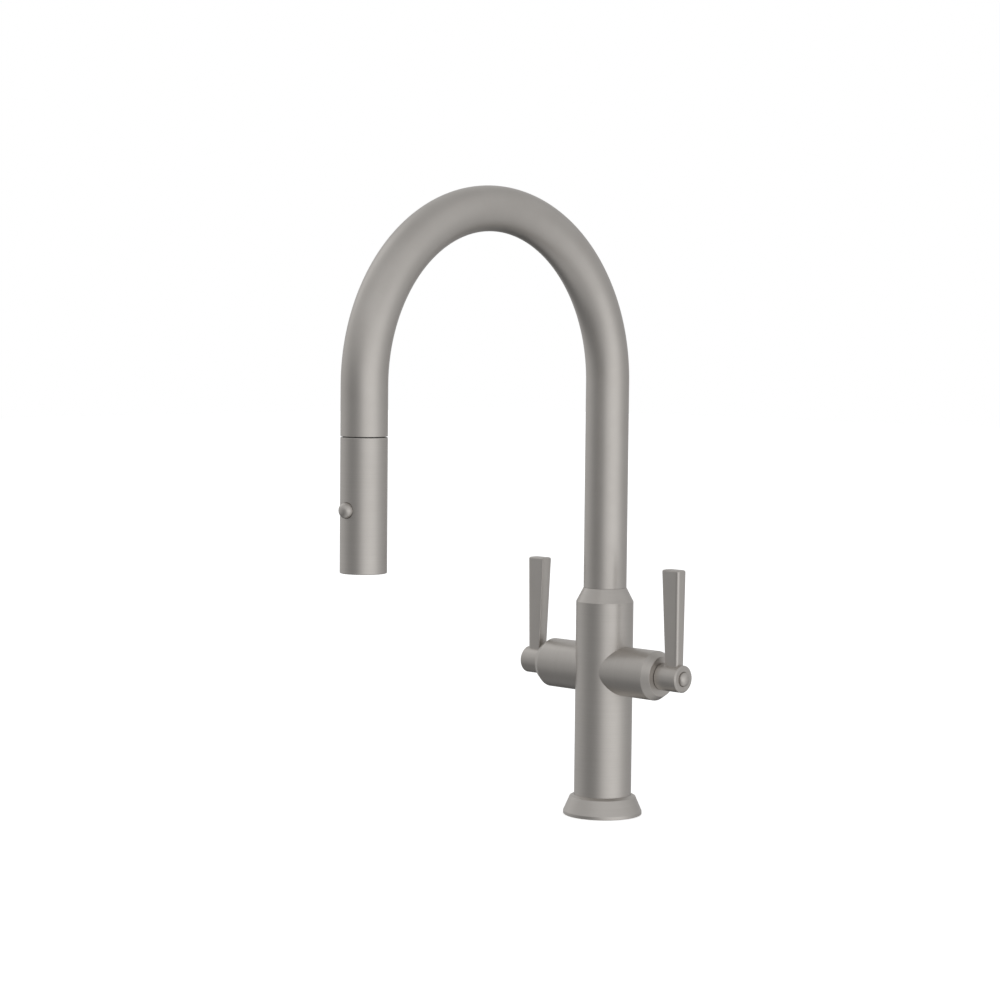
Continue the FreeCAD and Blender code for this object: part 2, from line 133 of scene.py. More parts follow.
def in_mm(outline):
    return [tuple(value * MM for value in point) for point in outline]


def rounded(outline, steps=5):
    """Eases the corners (a, b, radius) of a closed outline, each as wide as an arc of its radius."""
    out = []
    count = len(outline)
    for k, (a, b, radius) in enumerate(outline):
        corner = Vector((a, b))
        before = Vector(outline[k - 1][:2]) - corner
        after = Vector(outline[(k + 1) % count][:2]) - corner
        if radius <= 0:
            out.append((a, b))
            continue
        half = 0.5 * before.angle(after)
        reach = min(radius / math.tan(half), 0.49 * before.length, 0.49 * after.length)
        start = corner + before.normalized() * reach
        end = corner + after.normalized() * reach
        for s in range(steps + 1):
            t = s / steps
            point = (1 - t) ** 2 * start + 2 * t * (1 - t) * corner + t ** 2 * end
            out.append((point.x, point.y))
    return out


def dome(radius, foot, crown, fullness):
    """A round dome from its foot to the axis; a lower fullness gives squarer shoulders."""
    steps = 12
    turns = [0.5 * math.pi * k / steps for k in range(steps)]
    side = [(radius * math.cos(t) ** fullness, foot + (crown - foot) * math.sin(t)) for t in turns]
    return side + [(0, crown)]


def fine_rows(radius, z0, z1, step):
    """Closely spaced points along a cylinder, for a thread to shape."""
    count = round(abs(z1 - z0) / step)
    return [(radius, z0 + k / count * (z1 - z0)) for k in range(count + 1)]


# Reshapes: functions that give a turned point a new radius and height from its angle

def threaded(outer, pitch, depth, z0, z1):
    """Cuts a helical V thread into the outer wall between two heights."""
    def cut(r, z, angle):
        fade = min(1.0, (z - z0) / pitch, (z1 - z) / pitch)
        if fade <= 0 or r < outer - HAIR:
            return r, z
        phase = (z / pitch - angle / TAU) % 1.0
        return r - fade * depth * (1 - abs(2 * phase - 1)), z
    return cut


def hexed(across_flats, z0, z1, otherwise):
    """Turns the outer wall between two heights into a hexagon, and reshapes the rest otherwise."""
    outer_wall = 0.48 * across_flats

    def cut(r, z, angle):
        if z0 - HAIR <= z <= z1 + HAIR and r > outer_wall:
            return min(r, 0.5 * across_flats / math.cos(angle % (TAU / 6) - TAU / 12)), z
        return otherwise(r, z, angle)
    return cut


# Places, from a piece turned about Z to where it belongs

def on_handle(side):
    """The handle's axis: heights point away from the column."""
    return Matrix.Translation((0, 0, HANDLE_Z)) @ Matrix.Rotation(math.radians(90 * side), 4, "Y")


def on_outlet():
    return Matrix.Translation((0, OUTLET_Y, 0))


def on_button():
    """The button's axis: heights point to the front."""
    return Matrix.Translation((0, OUTLET_Y, BUTTON_Z)) @ Matrix.Rotation(math.radians(90), 4, "X")


def on_nut_screws():
    """Where the three jacking screws stand around the shank."""
    out = Matrix.Translation((NUT_SCREWS_FROM_AXIS, 0, 0))
    return [Matrix.Rotation(math.radians(90 + 120 * k), 4, "Z") @ out for k in range(3)]


# Meshes

def mesh_from(name, points, faces):
    mesh = bpy.data.meshes.new(name)
    mesh.from_pydata(points, [], faces)
    mesh.validate()
    work = bmesh.new()
    work.from_mesh(mesh)
    bmesh.ops.recalc_face_normals(work, faces=work.faces)
    work.to_mesh(mesh)
    work.free()
    return mesh


def joined(name, meshes):
    """One mesh from several separate ones."""
    work = bmesh.new()
    for mesh in meshes:
        work.from_mesh(mesh)
    out = bpy.data.meshes.new(name)
    work.to_mesh(out)
    work.free()
    return out


def lathe_mesh(name, outline, place=Matrix.Identity(4), reshape=None, segments=SEGMENTS):
    """Turns a closed outline about Z, reshapes its points if asked, and puts it in place."""
    points, faces, rings = [], [], []
    for r, z in outline:
        if r < HAIR:
            rings.append([len(points)] * segments)
            points.append(place @ Vector((0, 0, z)))
            continue
        rings.append(range(len(points), len(points) + segments))
        for k in range(segments):
            angle = TAU * k / segments
            radius, height = reshape(r, z, angle) if reshape else (r, z)
            points.append(place @ Vector((radius * math.cos(angle), radius * math.sin(angle), height)))
    for one, two in zip(rings, rings[1:] + rings[:1]):
        for k in range(segments):
            after = (k + 1) % segments
            corners = list(dict.fromkeys((one[k], one[after], two[after], two[k])))
            if len(corners) > 2:
                faces.append(corners)
    return mesh_from(name, points, faces)


def swept_mesh(name, path, wall, segments=128):
    """A pipe along a path: wall lists (path index, radius) in order around its lengthwise section."""
    points, faces = [], []
    across = Vector((1, 0, 0))
    for index, radius in wall:
        centre, out_way = path[index]
        for k in range(segments):
            angle = TAU * k / segments
            points.append(centre + radius * (math.cos(angle) * across + math.sin(angle) * out_way))
    for j in range(len(wall)):
        one, two = j * segments, (j + 1) % len(wall) * segments
        for k in range(segments):
            after = (k + 1) % segments
            faces.append((one + k, one + after, two + after, two + k))
    return mesh_from(name, points, faces)


def lofted_mesh(name, rows):
    """A closed solid through rows of as many points each, with a flat end at both."""
    points = [point for row in rows for point in row]
    width = len(rows[0])
    faces = [tuple(range(width)), tuple(range(len(points) - width, len(points)))]
    for j in range(len(rows) - 1):
        for k in range(width):
            a, b = j * width + k, j * width + (k + 1) % width
            faces.append((a, b, b + width, a + width))
    return mesh_from(name, points, faces)


# Pieces

def loose_object(name, mesh):
    holder = bpy.data.objects.new(name, mesh)
    bpy.context.scene.collection.objects.link(holder)
    return holder


def shade(mesh, material):
    """Gives a mesh its material, and smooth shading that stops at its sharp edges."""
    mesh.materials.clear()
    mesh.materials.append(material)
    mesh.polygons.foreach_set("use_smooth", [True] * len(mesh.polygons))
    mesh.set_sharp_from_angle(angle=SHARP_ANGLE)


def declare(piece, body, node, material):
    """Shades a piece, and lets it ride on its body and stand for one CAD node."""
    shade(piece.data, material)
    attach(piece, body)
    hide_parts(node)


def even_normals(piece):
    """Keeps broad faces flat-shaded beside their rounded edges."""
    modifier = piece.modifiers.new("even_normals", "WEIGHTED_NORMAL")
    modifier.keep_sharp = True
    modifier.weight = 60


def lathe(name, outline, body, material, node, place=Matrix.Identity(4), reshape=None,
          segments=SEGMENTS):
    """A turned piece that stands for one CAD node."""
    piece = loose_object(name, lathe_mesh(name, outline, place, reshape, segments))
    declare(piece, body, node, material)
    even_normals(piece)


def combine(target, other, operation):
    """Joins or cuts one mesh with another exactly, and leaves no modifier behind."""
    modifier = target.modifiers.new("combine", "BOOLEAN")
    modifier.operation = operation
    modifier.solver = "EXACT"
    modifier.object = other
    bpy.context.view_layer.update()
    evaluated = target.evaluated_get(bpy.context.evaluated_depsgraph_get())
    mesh = bpy.data.meshes.new_from_object(evaluated)
    target.modifiers.clear()
    target.data = mesh
    bpy.data.objects.remove(other)


def drill(target, radius, z0, z1, place, segments=SMALL_SEGMENTS):
    """Cuts a round hole between two heights along a place's axis."""
    outline = [(0, z0), (radius, z0), (radius, z1), (0, z1)]
    cutter = loose_object("drill", lathe_mesh("drill", outline, place, segments=segments))
    combine(target, cutter, "DIFFERENCE")


# Node trees

class Nodes:
    """A short way to build a node tree."""

    def __init__(self, tree):
        self.tree = tree

    def add(self, kind, **settings):
        node = self.tree.nodes.new(kind)
        for key, value in settings.items():
            setattr(node, key, value)
        return node

    def link(self, output, socket):
        self.tree.links.new(output, socket)

    def feed(self, value, socket):
        """Sets a number on a socket, or links another node's output to it."""
        if isinstance(value, (int, float)):
            socket.default_value = value
        else:
            self.link(value, socket)

    def math(self, operation, *values):
        node = self.add("ShaderNodeMath", operation=operation)
        for value, socket in zip(values, node.inputs):
            self.feed(value, socket)
        return node.outputs["Value"]


class Finish(Nodes):
    """A material's node tree, with the textures and the shader that the finishes share."""

    TEXTURE_LOW, TEXTURE_HIGH = 0.3, 0.7

    def __init__(self, name):
        self.material = bpy.data.materials.new(name)
        self.material.use_nodes = True
        super().__init__(self.material.node_tree)
        self.shader = self.tree.nodes["Principled BSDF"]
        self.place = self.add("ShaderNodeTexCoord").outputs["Object"]

    def stretched(self, scale):
        """Object coordinates scaled differently along each axis."""
        mapping = self.add("ShaderNodeMapping")
        mapping.inputs["Scale"].default_value = scale
        self.link(self.place, mapping.inputs["Vector"])
        return mapping.outputs["Vector"]

    def noise(self, place, scale, detail=3.0, roughness=0.5):
        node = self.add("ShaderNodeTexNoise")
        node.inputs["Scale"].default_value = scale
        node.inputs["Detail"].default_value = detail
        node.inputs["Roughness"].default_value = roughness
        self.link(place, node.inputs["Vector"])
        return node.outputs["Fac"]

    def roughness(self, value, smoothest, roughest):
        """The shader's roughness, spread between two numbers by a texture's value."""
        node = self.add("ShaderNodeMapRange")
        node.inputs["From Min"].default_value = self.TEXTURE_LOW
        node.inputs["From Max"].default_value = self.TEXTURE_HIGH
        node.inputs["To Min"].default_value = smoothest
        node.inputs["To Max"].default_value = roughest
        self.link(value, node.inputs["Value"])
        self.link(node.outputs["Result"], self.shader.inputs["Roughness"])

    def colours(self, value, dark, light):
        """The shader's colour, between two colours by a texture's value."""
        node = self.add("ShaderNodeValToRGB")
        stops = (self.TEXTURE_LOW, dark), (self.TEXTURE_HIGH, light)
        for element, (position, colour) in zip(node.color_ramp.elements, stops):
            element.position = position
            element.color = (*colour, 1)
        self.link(value, node.inputs["Fac"])
        self.link(node.outputs["Color"], self.shader.inputs["Base Color"])

    def bump(self, value, strength, distance):
        node = self.add("ShaderNodeBump")
        node.inputs["Strength"].default_value = strength
        node.inputs["Distance"].default_value = distance
        self.link(value, node.inputs["Height"])
        self.link(node.outputs["Normal"], self.shader.inputs["Normal"])


# Materials

def brushed_metal(name, dark, light, rough, grain, streaks=None, bump=0.05):
    """Metal with fine brushing: grain is how the scratches are stretched along X, Y and Z.

    streaks, if given, is the same for broader tool marks that show in the colour.
    """
    m = Finish(name)
    m.shader.inputs["Metallic"].default_value = 1.0
    tone = m.noise(m.place, scale=45, detail=4.0, roughness=0.6)
    if streaks:
        marks = m.noise(m.stretched(streaks), scale=1.0, detail=2.0, roughness=0.6)
        tone = m.math("ADD", m.math("MULTIPLY", tone, 0.4), m.math("MULTIPLY", marks, 0.6))
    m.colours(tone, dark, light)
    lines = m.noise(m.stretched(grain), scale=1.0, detail=2.0, roughness=0.6)
    cloud = m.noise(m.place, scale=120)
    mixed = m.math("ADD", m.math("MULTIPLY", lines, 0.6), m.math("MULTIPLY", cloud, 0.4))
    m.roughness(mixed, *rough)
    m.bump(lines, bump, 0.02 * MM)
    return m.material


def satin_nickel(finish, grain, streaks=None):
    dark, light, rough = (0.560, 0.533, 0.503), (0.592, 0.565, 0.535), (0.37, 0.43)
    return brushed_metal("satin_nickel_" + finish, dark, light, rough, grain, streaks)


def moulded(name, dark, light, rough, grain_scale=900.0, bump=0.15, specular=0.5):
    """Plastic, rubber or ceramic with a fine moulded grain and slight cloudiness."""
    m = Finish(name)
    m.shader.inputs["Specular IOR Level"].default_value = specular
    m.colours(m.noise(m.place, scale=60, detail=4.0), dark, light)
    m.roughness(m.noise(m.place, scale=260), *rough)
    m.bump(m.noise(m.place, grain_scale, detail=2.0), bump, 0.05 * MM)
    return m.material


def braided(name, axis_y):
    """Grey nylon braid: two sets of threads crossing around an upright hose at the given Y."""
    threads_around, pitch = 12.0, 2.6 * MM
    m = Finish(name)
    split = m.add("ShaderNodeSeparateXYZ")
    m.link(m.place, split.inputs["Vector"])
    angle = m.math("ARCTAN2", m.math("SUBTRACT", split.outputs["Y"], axis_y), split.outputs["X"])
    turn = m.math("MULTIPLY", angle, threads_around)
    rise = m.math("MULTIPLY", split.outputs["Z"], TAU / pitch)
    right = m.math("SINE", m.math("ADD", turn, rise))
    left = m.math("SINE", m.math("SUBTRACT", turn, rise))
    weave = m.math("MULTIPLY_ADD", m.math("MULTIPLY", right, left), 0.5, 0.5)
    m.colours(weave, (0.16, 0.165, 0.17), (0.42, 0.43, 0.44))
    m.shader.inputs["Roughness"].default_value = 0.55
    m.shader.inputs["Sheen Weight"].default_value = 0.15
    m.bump(weave, 0.7, 0.25 * MM)
    return m.material


nickel_turned = satin_nickel("turned", (60, 60, 4200), (14, 14, 1100))
nickel_tube = satin_nickel("tube", (1400, 1400, 1400))
nickel_flat = satin_nickel("flat", (3800, 3800, 60))
nickel_hub = satin_nickel("hub", (4200, 60, 60), (1300, 14, 14))
brass = brushed_metal("turned_brass", (0.52, 0.35, 0.14), (0.72, 0.52, 0.24), (0.22, 0.38),
                      (80, 80, 3500), bump=0.12)
copper = brushed_metal("drawn_copper", (0.55, 0.25, 0.15), (0.78, 0.42, 0.28), (0.24, 0.42),
                       (2600, 2600, 40), bump=0.1)
steel = brushed_metal("stainless_steel", (0.50, 0.50, 0.50), (0.62, 0.62, 0.61), (0.2, 0.34),
                      (70, 70, 3000), bump=0.1)
magnet = brushed_metal("plated_magnet", (0.30, 0.30, 0.31), (0.40, 0.40, 0.41), (0.25, 0.4),
                       (900, 900, 900), bump=0.1)
rubber = moulded("black_rubber", (0.018, 0.018, 0.018), (0.035, 0.035, 0.034), (0.6, 0.8),
                 grain_scale=700, bump=0.3, specular=0.3)
black_plastic = moulded("black_acetal", (0.020, 0.020, 0.022), (0.034, 0.034, 0.036), (0.36, 0.5))
white_plastic = moulded("white_acetal", (0.72, 0.72, 0.69), (0.80, 0.80, 0.78), (0.35, 0.5))
grey_plastic = moulded("grey_plastic", (0.22, 0.22, 0.23), (0.28, 0.28, 0.29), (0.38, 0.52))
ceramic = moulded("alumina_ceramic", (0.80, 0.77, 0.72), (0.86, 0.84, 0.80), (0.08, 0.2),
                  grain_scale=1500, bump=0.04)
braid = braided("nylon_braid", 0.0)
outlet_braid = braided("nylon_braid_outlet", OUTLET_Y)

MATERIAL_OF_SLOT = {
    "satin_nickel": nickel_turned, "brass": brass, "copper": copper, "rubber": rubber,
    "black_plastic": black_plastic, "white_plastic": white_plastic, "grey_plastic": grey_plastic,
    "ceramic": ceramic, "steel": steel, "magnet": magnet, "hose_braid": braid,
}


def dress_cad_nodes():
    """Gives every CAD node the finished material of its slot."""
    for part in frame["record"]["subparts"]:
        material = MATERIAL_OF_SLOT[part["material_slot"]]
        for slot in frame["nodes"][part["node"]].material_slots:
            slot.material = material


# Base and column

def make_base_flange():
    """The conical cover ring, with the seal's groove under it."""
    bore = COLUMN_R + 0.1 * MM
    groove_in, groove_out, groove_top = 20.4 * MM, 23.8 * MM, 1.8 * MM
    shoulder_r, shoulder_z = 22.0 * MM, FLANGE_TOP - 1.4 * MM
    outline = [(bore, 0, 0), (groove_in, 0, 0), (groove_in, groove_top, 0), (groove_out, groove_top, 0),
               (groove_out, 0, 0), (FLANGE_R, 0, 0.5 * MM), (FLANGE_R, 2.1 * MM, 0.7 * MM),
               (shoulder_r, shoulder_z, 0.4 * MM), (bore, FLANGE_TOP, 0.1 * MM)]
    lathe("base_flange_ring", rounded(outline), "base", nickel_turned, "base_flange")


def make_column():
    """The column with its conical neck, its two side windows and the retaining screw's hole."""
    foot_bore, wall, socket = 16.65 * MM, 16.4 * MM, 13.1 * MM
    shoulder, socket_floor, foot_bore_top = 142.7 * MM, 116 * MM, 24 * MM
    outline = [(foot_bore, 0, 0), (COLUMN_R, 0, 0.3 * MM), (COLUMN_R, shoulder, 0.5 * MM),
               (TUBE_R + 0.05 * MM, NECK_TOP, 0.12 * MM), (socket, NECK_TOP, 0.1 * MM),
               (socket, socket_floor, 0), (wall, socket_floor - 2 * MM, 0), (wall, foot_bore_top, 0),
               (foot_bore, foot_bore_top, 0)]
    column = loose_object("column_body", lathe_mesh("column_body", rounded(outline)))
    window_r, clear = 12.7 * MM, COLUMN_R + 2 * MM
    for side in SIDES.values():
        drill(column, window_r, 0, clear, on_handle(side))
    screw_z, screw_hole_r, inside, outside = 129 * MM, 2.05 * MM, 9 * MM, 22 * MM
    behind = Matrix.Translation((0, 0, screw_z)) @ Matrix.Rotation(math.radians(-90), 4, "X")
    drill(column, screw_hole_r, inside, outside, behind, TINY_SEGMENTS)
    even_normals(column)
    declare(column, "base", "column", nickel_turned)


def make_bonnet(name, side):
    """The valve's round cover, with its inner end cut to the column's curve."""
    root, shoulder, bore_end = 10 * MM, 46.0 * MM, 45 * MM
    nose_r, nose_bore = 13.2 * MM, 8.15 * MM
    outline = [(BONNET_BORE, root, 0), (BONNET_R, root, 0), (BONNET_R, shoulder, 0.35 * MM),
               (nose_r, BONNET_END, 0.3 * MM), (nose_bore, BONNET_END, 0.2 * MM),
               (nose_bore, bore_end, 0), (BONNET_BORE, bore_end, 0)]

    def saddle(r, z, angle):
        across = r * math.sin(angle)
        if z > root + 0.1 * MM:
            return r, z
        return r, math.sqrt((COLUMN_R + 0.02 * MM) ** 2 - across ** 2)

    lathe(name + "_bonnet_cover", rounded(outline), "base", nickel_hub,
          name + "_bonnet", on_handle(side), saddle)


# Handles

def lever_section(side, z, shrink):
    """The lever at one height: soft outer edges and a slightly crowned inner side."""
    share = (z - LEVER_LOW["z"]) / (LEVER_HIGH["z"] - LEVER_LOW["z"])
    inner, outer, half = (LEVER_LOW[key] + share * (LEVER_HIGH[key] - LEVER_LOW[key])
                          for key in ("inner", "outer", "half_y"))
    inner += shrink
    outer -= shrink
    half -= shrink
    outline = [(outer, -half, LEVER_OUTER_ROUND), (outer, half, LEVER_OUTER_ROUND),
               (inner + LEVER_CROWN, half, LEVER_INNER_ROUND), (inner, 0, 50 * MM),
               (inner + LEVER_CROWN, -half, LEVER_INNER_ROUND)]
    return [Vector((side * x, y, z)) for x, y in rounded(outline, 6)]


def lever_arm_mesh(side):
    """The tapered arm from inside the hub to its softly rounded tip."""
    steps, tip = 8, 1.2 * MM
    foot, tip_start = HANDLE_Z + 2 * MM, LEVER_TOP - tip
    rows = [lever_section(side, foot + k / steps * (tip_start - foot), 0) for k in range(steps + 1)]
    for degrees in range(15, 91, 15):
        turn = math.radians(degrees)
        z = tip_start + tip * math.sin(turn)
        rows.append(lever_section(side, z, tip * (1 - math.cos(turn))))
    return lofted_mesh("lever_arm", rows)


def make_lever(name, side):
    """The hub, its recess for the cap screw, and the arm joined to it."""
    recess, screw_hole, chamfer = CAP_R + 0.15 * MM, 2.1 * MM, 0.9 * MM
    outline = [(STEM_SOCKET_R, HUB_START, 0), (HUB_R, HUB_START, 0.2 * MM),
               (HUB_R, HUB_END - chamfer, 0.2 * MM), (HUB_R - chamfer, HUB_END, 0.2 * MM),
               (recess, HUB_END, 0.3 * MM), (recess, CAP_SEAT, 0), (screw_hole, CAP_SEAT, 0),
               (screw_hole, STEM_SOCKET_END, 0), (STEM_SOCKET_R, STEM_SOCKET_END, 0)]
    hub = loose_object(name + "_lever_handle", lathe_mesh("hub", rounded(outline), on_handle(side)))
    arm = loose_object("arm", lever_arm_mesh(side))
    inside_hub = 50 * MM
    drill(arm, STEM_SOCKET_R - 0.01 * MM, inside_hub, STEM_SOCKET_END, on_handle(side), SEGMENTS)
    combine(hub, arm, "UNION")
    even_normals(hub)
    declare(hub, name + "_handle", name + "_lever", nickel_flat)


def make_cap_screw(name, side):
    """The domed screw that holds the hub on its stem."""
    head, screw_r, screw_end = CAP_SEAT + 0.05 * MM, 1.72 * MM, 54 * MM
    dome_height = 2.6 * MM
    outline = [(0, screw_end), (screw_r, screw_end), (screw_r, head), (CAP_R, head),
               *dome(CAP_R, CAP_FRONT - dome_height, CAP_FRONT, fullness=1.0)]
    lathe(name + "_cap_screw_dome", outline, name + "_handle", nickel_hub,
          name + "_cap_screw", on_handle(side), segments=SMALL_SEGMENTS)


# Spout and hose

def spout_path():
    """Centres and outward directions along the spout: up, over in a half circle, and down."""
    rise_steps, arc_steps, drop_steps = 8, 96, 6
    path = []
    for k in range(rise_steps):
        z = TUBE_START + k / rise_steps * (BEND_Z - TUBE_START)
        path.append((Vector((0, 0, z)), Vector((0, 1, 0))))
    for k in range(arc_steps + 1):
        turn = math.pi * k / arc_steps
        out_way = Vector((0, math.cos(turn), math.sin(turn)))
        path.append((Vector((0, -BEND_R, BEND_Z)) + BEND_R * out_way, out_way))
    for k in range(1, drop_steps + 1):
        z = BEND_Z + k / drop_steps * (TUBE_END - BEND_Z)
        path.append((Vector((0, OUTLET_Y, z)), Vector((0, -1, 0))))
    return path


def make_spout():
    """The bent tube with its wall, and a small round on both rims."""
    rim = 0.08 * MM
    inset = Vector((0, 0, rim))
    path = spout_path()
    path.insert(1, (path[0][0] + inset, path[0][1]))
    path.insert(-1, (path[-1][0] + inset, path[-1][1]))
    last = len(path) - 1
    wall = [(0, TUBE_R - rim)]
    wall += [(k, TUBE_R) for k in range(1, last)]
    wall += [(last, TUBE_R - rim)]
    wall += [(k, TUBE_BORE) for k in range(last, -1, -1)]
    spout = loose_object("spout_bent_tube", swept_mesh("spout", path, wall))
    declare(spout, "spout", "spout_tube", nickel_tube)
    even_normals(spout)


def make_hose():
    """The braided outlet run of the hose, which on the real tap pays out with the spray head; here it
    stays fixed in place.
    """
    rows = 24
    radius = high("hose_outlet_run").x
    top, bottom = high("hose_outlet_run").z, low("hose_outlet_run").z
    side = [(radius, bottom + k / rows * (top - bottom)) for k in range(rows + 1)]
    outline = [(0, bottom), *side, (0, top)]
    mesh = lathe_mesh("hose_run", outline, on_outlet(), segments=SMALL_SEGMENTS)
    shade(mesh, outlet_braid)
    run = loose_object("hose_run", mesh)
    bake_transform(run)
    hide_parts("hose_outlet_run")


# Spray head

def make_spray_shell():
    """The spray head's outer tube, with the button's hole in front."""
    mouth, step_z = SHELL_BORE + 0.05 * MM, 250 * MM
    button_gap, behind_wall, clear = 0.2 * MM, 6 * MM, 20 * MM
    outline = [(SHELL_BORE, SPRAY_BOTTOM, 0.2 * MM), (SPRAY_R, SPRAY_BOTTOM, 1.0 * MM),
               (SPRAY_R, SPRAY_TOP, 0.35 * MM), (mouth, SPRAY_TOP, 0.1 * MM), (mouth, step_z, 0),
               (SHELL_BORE, step_z, 0)]
    shell = loose_object("spray_outer_shell", lathe_mesh("shell", rounded(outline), on_outlet()))
    drill(shell, BUTTON_R + button_gap, behind_wall, clear, on_button())
    even_normals(shell)
    declare(shell, "spray", "spray_shell", nickel_turned)


def make_button():
    """A full round dome on a short plunger."""
    dome_foot = SPRAY_R + 0.2 * MM
    outline = [(0, BUTTON_BACK), (BUTTON_R, BUTTON_BACK),
               *dome(BUTTON_R, dome_foot, BUTTON_FRONT, fullness=0.85)]
    lathe("spray_button_dome", outline, "button", nickel_hub, "spray_button",
          on_button(), segments=SMALL_SEGMENTS)


def make_collar():
    """The dark ring in the joint, with the spigot that enters the dock."""
    outline = [(5.2, 250.05, 0), (12.9, 250.05, 0), (12.9, 257.7, 0.2), (12.4, 257.7, 0.1),
               (12.4, 256.9, 0), (9.7, 256.9, 0), (9.7, 257.7, 0.1), (8.6, 258.2, 0.3),
               (8.4, 263.9, 0.4), (5.2, 263.9, 0.2)]
    lathe("spray_top_collar", rounded(in_mm(outline)), "spray", black_plastic,
          "spray_collar", on_outlet())


def make_spring():
    """The button's return spring: a small coil, which on the real tap shortens as the button goes in;
    here it keeps its length.
    """
    wire, turns, steps, sides = 0.3 * MM, 4.5, 150, 10
    spring_low, spring_high = low("button_spring"), high("button_spring")
    back, front = spring_high.y, spring_low.y
    radius = 0.5 * (spring_high.x - spring_low.x) - wire
    along = Vector((0, 1, 0))
    rows = []
    for j in range(steps + 1):
        turn = TAU * turns * j / steps
        out_way = Vector((math.cos(turn), 0, math.sin(turn)))
        y = back - wire + j / steps * (front - back + 2 * wire)
        centre = Vector((0, y, BUTTON_Z)) + radius * out_way
        angles = [TAU * k / sides for k in range(sides)]
        rows.append([centre + wire * (math.cos(a) * out_way + math.sin(a) * along) for a in angles])
    coil = loose_object("button_spring_coil", lofted_mesh("spring", rows))
    declare(coil, "spray", "button_spring", steel)
    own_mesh(coil)


def make_outlet_rings():
    """The bezel around the spray face and the housing of the aerator."""
    bezel = [(11.75, 176.4, 0.15), (12.85, 175.7, 0.35), (12.85, 188.5, 0.2), (11.0, 188.5, 0.1),
             (11.0, 180.2, 0), (11.75, 180.2, 0)]
    housing = [(4.5, 176, 0.15), (5.2, 176, 0.15), (5.6, 176.5, 0.15), (5.6, 188.9, 0.1),
               (4.9, 188.9, 0.1), (4.9, 179, 0), (4.5, 179, 0)]
    for node, outline in (("spray_bezel", bezel), ("aerator_housing", housing)):
        lathe(node + "_ring", rounded(in_mm(outline), 3), "spray", grey_plastic,
              node, on_outlet())


# Fixings under the deck

def make_shank():
    """The threaded shank that passes through the deck."""
    bore, pitch, depth = 15 * MM, 1.5 * MM, 0.75 * MM
    foot, top = low("shank").z, high("shank").z
    outline = [(bore, foot), *fine_rows(SHANK_R, foot, 0, 0.25 * MM), (SHANK_R, top), (bore, top)]
    thread = threaded(SHANK_R, pitch, depth, foot - 0.4 * MM, 0)
    lathe("threaded_shank", outline, "base", brass, "shank", reshape=thread,
          segments=SMALL_SEGMENTS)


def make_washers():
    hole = SHANK_R + 0.5 * MM
    for node, material, slot, soft in (("deck_washer", rubber, "rubber", 0.7 * MM),
                                       ("clamp_washer", steel, "steel", 0.25 * MM)):
        outer, z0, z1 = high(node).x, low(node).z, high(node).z
        outline = [(hole, z0, soft), (outer, z0, soft), (outer, z1, soft), (hole, z1, soft)]
        lathe(node + "_ring", rounded(outline, 4), "base", material, node)


def make_nut():
    """The round mounting nut, with a hole for each of its three jacking screws."""
    outer, bore, screw_hole_r = high("mounting_nut").x, SHANK_R + 0.02 * MM, 2.52 * MM
    z0, z1 = low("mounting_nut").z, high("mounting_nut").z
    outline = [(bore, z0, 0.6 * MM), (outer, z0, 1.0 * MM), (outer, z1, 1.0 * MM), (bore, z1, 0.6 * MM)]
    nut = loose_object("mounting_nut_body", lathe_mesh("nut", rounded(outline, 4)))
    for place in on_nut_screws():
        drill(nut, screw_hole_r, z0 - MM, z1 + MM, place, TINY_SEGMENTS)
    even_normals(nut)
    declare(nut, "base", "mounting_nut", brass)


def make_screws():
    """Three threaded screws with hexagonal heads, as one piece."""
    radius, pitch, depth = 2.5 * MM, 0.8 * MM, 0.35 * MM
    corner, flats = 3.9 * MM, 7.0 * MM
    z0, z1 = low("nut_screws").z, high("nut_screws").z
    neck = z0 + 4 * MM
    outline = [(0, z0), (corner - 0.6 * MM, z0), (corner, z0 + 0.5 * MM), (corner, neck),
               *fine_rows(radius, neck, z1, 0.16 * MM), (0, z1)]
    shape = hexed(flats, z0, neck, threaded(radius, pitch, depth, neck, z1 + 0.3 * MM))
    meshes = [lathe_mesh("screw", outline, place, shape, TINY_SEGMENTS) for place in on_nut_screws()]
    screws = loose_object("three_jacking_screws", joined("screws", meshes))
    declare(screws, "base", "nut_screws", steel)
    even_normals(screws)


def make_nipple(name, node, body, thread_length, flats, collar_r, bore, socket_r):
    """An upright nipple, from its end upwards: thread, hexagon and a collar with a socket in it."""
    radius, pitch, depth = 7.0 * MM, 1.0 * MM, 0.5 * MM
    corner, bevel = flats / math.sqrt(3), 0.7 * MM
    end, top = low(node).z, high(node).z
    hex_low = end + thread_length
    hex_high = hex_low + 6 * MM
    axis_y = 0.5 * (low(node).y + high(node).y)
    outline = [(bore, end), (radius - bevel, end),
               *fine_rows(radius, end + bevel, hex_low, 0.17 * MM),
               (corner - bevel, hex_low), (corner, hex_low + 0.6 * MM), (corner, hex_high - 0.6 * MM),
               (corner - bevel, hex_high), (collar_r, hex_high), (collar_r, top - 0.4 * MM),
               (collar_r - 0.4 * MM, top), (socket_r, top), (socket_r, hex_high), (bore, hex_high)]
    shape = hexed(flats, hex_low, hex_high, threaded(radius, pitch, depth, end, hex_low))
    lathe(name, outline, body, brass, node, Matrix.Translation((0, axis_y, 0)), shape,
          segments=72)


def make_nipples():
    """The hose's end nipple in the middle, and the mixed water's nipple behind it."""
    make_nipple("hose_end_nipple", "hose_end_fitting", "spout", 18 * MM, 15 * MM, 6.3 * MM,
                3.0 * MM, 5.0 * MM)
    make_nipple("mixed_outlet_nipple", "mixed_outlet_fitting", "base", 16 * MM, 16 * MM, 6.4 * MM,
                3.2 * MM, 4.78 * MM)


# Stage, light and camera

